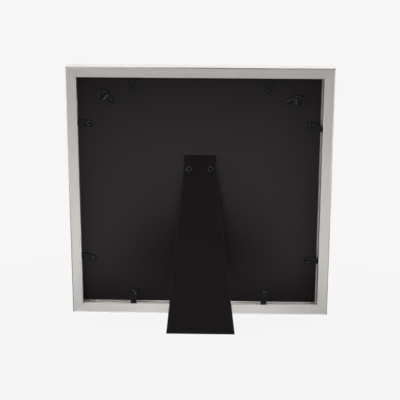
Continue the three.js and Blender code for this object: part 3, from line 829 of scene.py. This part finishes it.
def seen_directly(material):
    """1 for what the camera sees, straight, in a mirror or through glass, and 0 for light on things."""
    rays = add(material, "ShaderNodeLightPath")
    mirrored = add(material, "ShaderNodeMath", operation="MAXIMUM")
    join(material, rays.outputs["Is Camera Ray"], mirrored.inputs[0])
    join(material, rays.outputs["Is Glossy Ray"], mirrored.inputs[1])
    through = add(material, "ShaderNodeMath", operation="MAXIMUM")
    join(material, mirrored.outputs["Value"], through.inputs[0])
    join(material, rays.outputs["Is Transmission Ray"], through.inputs[1])
    return rays, through.outputs["Value"]


floor_finish = bpy.data.materials.new("pale_floor")
floor_finish.use_nodes = True
floor_finish.node_tree.nodes.clear()
spot = add(floor_finish, "ShaderNodeTexCoord")
floor_rays, floor_seen = seen_directly(floor_finish)


def faded(value, start, end, first, last):
    """A smooth change of level between two distances on the floor."""
    fade = add(floor_finish, "ShaderNodeMapRange", interpolation_type="SMOOTHSTEP")
    fade.inputs["From Min"].default_value = start
    fade.inputs["From Max"].default_value = end
    fade.inputs["To Min"].default_value = first
    fade.inputs["To Max"].default_value = last
    join(floor_finish, value, fade.inputs["Value"])
    return fade.outputs["Result"]


def product(first, second):
    """Two levels multiplied."""
    times = add(floor_finish, "ShaderNodeMath", operation="MULTIPLY")
    join(floor_finish, first, times.inputs[0])
    join(floor_finish, second, times.inputs[1])
    return times.outputs["Value"]


# Painted shadow: the glow that glossy rays see is darkened round the leg's foot, and each edge of the
# painted pool of light fades it towards the dim rim.
foot_gap = add(floor_finish, "ShaderNodeVectorMath", operation="DISTANCE")
foot_gap.inputs[1].default_value = foot_place
join(floor_finish, spot.outputs["Object"], foot_gap.inputs[0])
painted_pool_light = faded(foot_gap.outputs["Value"], painted_shadow_inner, painted_shadow_outer, painted_foot_shadow, 1)
for pool_edge in pool_edges:
    edge_gap = add(floor_finish, "ShaderNodeVectorMath", operation="DOT_PRODUCT")
    edge_gap.inputs[1].default_value = pool_edge["way"]
    join(floor_finish, spot.outputs["Object"], edge_gap.inputs[0])
    edge_light = faded(edge_gap.outputs["Value"], pool_edge["full"], pool_edge["gone"], 1, painted_pool_rim)
    painted_pool_light = product(painted_pool_light, edge_light)
# Glossy rays see the floor's glow scaled by the painted pool of light and shadow; the camera sees it even.
painted_pool_glow = add(floor_finish, "ShaderNodeMix", data_type="FLOAT")
painted_pool_glow.inputs["A"].default_value = 1
join(floor_finish, floor_rays.outputs["Is Glossy Ray"], painted_pool_glow.inputs["Factor"])
join(floor_finish, painted_pool_light, painted_pool_glow.inputs["B"])
glow = add(floor_finish, "ShaderNodeEmission")
glow.inputs["Color"].default_value = pale
join(floor_finish, painted_pool_glow.outputs["Result"], glow.inputs["Strength"])
lit = add(floor_finish, "ShaderNodeBsdfDiffuse")
lit.inputs["Color"].default_value = floor_tone
clear = faded(foot_gap.outputs["Value"], shadow_near, shadow_far, 1 - shown_shadow, 1)
floor_mix = add(floor_finish, "ShaderNodeMixShader")
join(floor_finish, product(floor_seen, clear), floor_mix.inputs["Fac"])
join(floor_finish, lit.outputs["BSDF"], floor_mix.inputs[1])
join(floor_finish, glow.outputs["Emission"], floor_mix.inputs[2])
floor_output = add(floor_finish, "ShaderNodeOutputMaterial")
join(floor_finish, floor_mix.outputs["Shader"], floor_output.inputs["Surface"])
floor_mesh.materials.append(floor_finish)

world = bpy.data.worlds.new("studio")
scene.world = world
world.use_nodes = True
surround = world.node_tree.nodes["Background"]
surround.inputs["Color"].default_value = pale
brightness = add(world, "ShaderNodeMapRange")
brightness.inputs["To Min"].default_value = room_light
brightness.inputs["To Max"].default_value = 1
join(world, seen_directly(world)[1], brightness.inputs["Value"])
join(world, brightness.outputs["Result"], surround.inputs["Strength"])

lamps = (
    {"name": "overhead", "place": (0, 0.3, 1.2), "aim": (0, 0.1, 0),
     "size": (0.9, 0.9), "spread": 180, "power": 15.5, "mirrored": True},
    {"name": "front", "place": (-0.5, -1.15, 0.95), "aim": (0, 0, 0.15),
     "size": (0.9, 0.9), "spread": 180, "power": 14, "mirrored": False},
    {"name": "side_left", "place": (1.2, 0.45, 0.25), "aim": (0, -0.02, 0.08),
     "size": (0.5, 0.5), "spread": 70, "power": 2, "mirrored": True},
    {"name": "side_right", "place": (-1.2, 0.45, 0.25), "aim": (0, -0.02, 0.08),
     "size": (0.5, 0.5), "spread": 70, "power": 0.85, "mirrored": True},
    {"name": "low_left", "place": (1.1, 0.75, 0.1), "aim": (0, -0.04, -0.035),
     "size": (0.3, 0.1), "spread": 26, "power": 0.25, "mirrored": True},
    {"name": "low_right", "place": (-1.1, 0.75, 0.1), "aim": (0, -0.04, -0.035),
     "size": (0.3, 0.1), "spread": 26, "power": 0.24, "mirrored": True})


def turned(place, aim):
    """The turn that points a lamp or a camera from its place at its aim."""
    return (Vector(aim) - Vector(place)).to_track_quat("-Z", "Y")


for setting in lamps:
    lamp_data = bpy.data.lights.new(setting["name"], "AREA")
    lamp_data.shape = "RECTANGLE"
    lamp_data.size, lamp_data.size_y = setting["size"]
    lamp_data.spread = math.radians(setting["spread"])
    lamp_data.energy = setting["power"]
    lamp = placed(setting["name"], lamp_data)
    lamp.visible_glossy = setting["mirrored"]
    lamp.location = setting["place"]
    lamp.rotation_euler = turned(setting["place"], setting["aim"]).to_euler()

camera_place = (-0.0372, 1.57769, 0.41533)
camera_aim = (-0.0001, -0.0125, 0.14339)
camera_lens = 124.63
camera_roll = math.radians(0.341)
camera_data = bpy.data.cameras.new("camera")
camera_data.lens = camera_lens
camera = placed("camera", camera_data)
camera.location = camera_place
camera_turn = turned(camera_place, camera_aim).to_matrix() @ Matrix.Rotation(camera_roll, 3, "Z")
camera.rotation_euler = camera_turn.to_euler()
scene.camera = camera
scene.view_settings.view_transform = "Standard"
